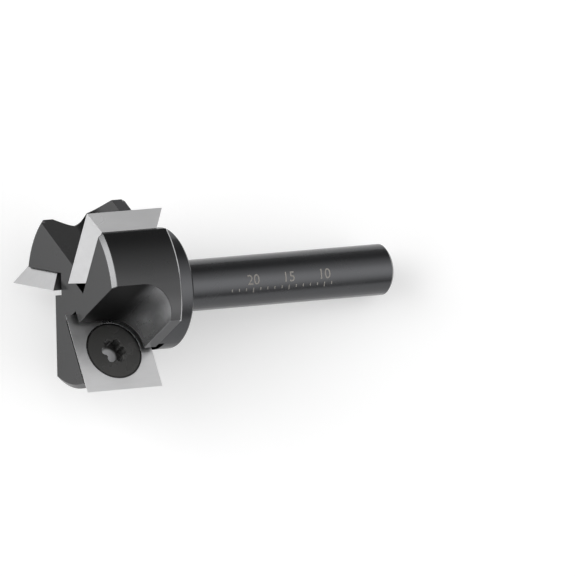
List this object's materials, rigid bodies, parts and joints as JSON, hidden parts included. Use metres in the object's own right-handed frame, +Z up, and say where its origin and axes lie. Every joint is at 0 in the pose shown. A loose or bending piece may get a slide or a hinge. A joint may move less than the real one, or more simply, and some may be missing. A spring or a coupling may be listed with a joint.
{
  "type": "surfacing router bit",
  "caption": "Indexable surfacing router bit: a straight round shank and a collar carry a winged head, where square carbide inserts are screwed into pockets beside open chip gullets.",
  "frame": {"origin": "on the tool axis, where the shank leaves the collar, with the tool lying at rest", "axes": "+Z up from the surface it lies on, +X above the tool axis towards the shank's free end"},
  "size_m": [0.0469, 0.0241, 0.0237],
  "materials": {
    "dark_steel": "satin",
    "carbide": "satin",
    "black_screw": "satin"
  },
  "bodies": {
    "root": {"cutter_body": "dark_steel", "carbide_insert_1": "carbide", "carbide_insert_2": "carbide", "carbide_insert_3": "carbide", "insert_screw_1": "black_screw", "insert_screw_2": "black_screw", "insert_screw_3": "black_screw"}
  },
  "joints": []
}
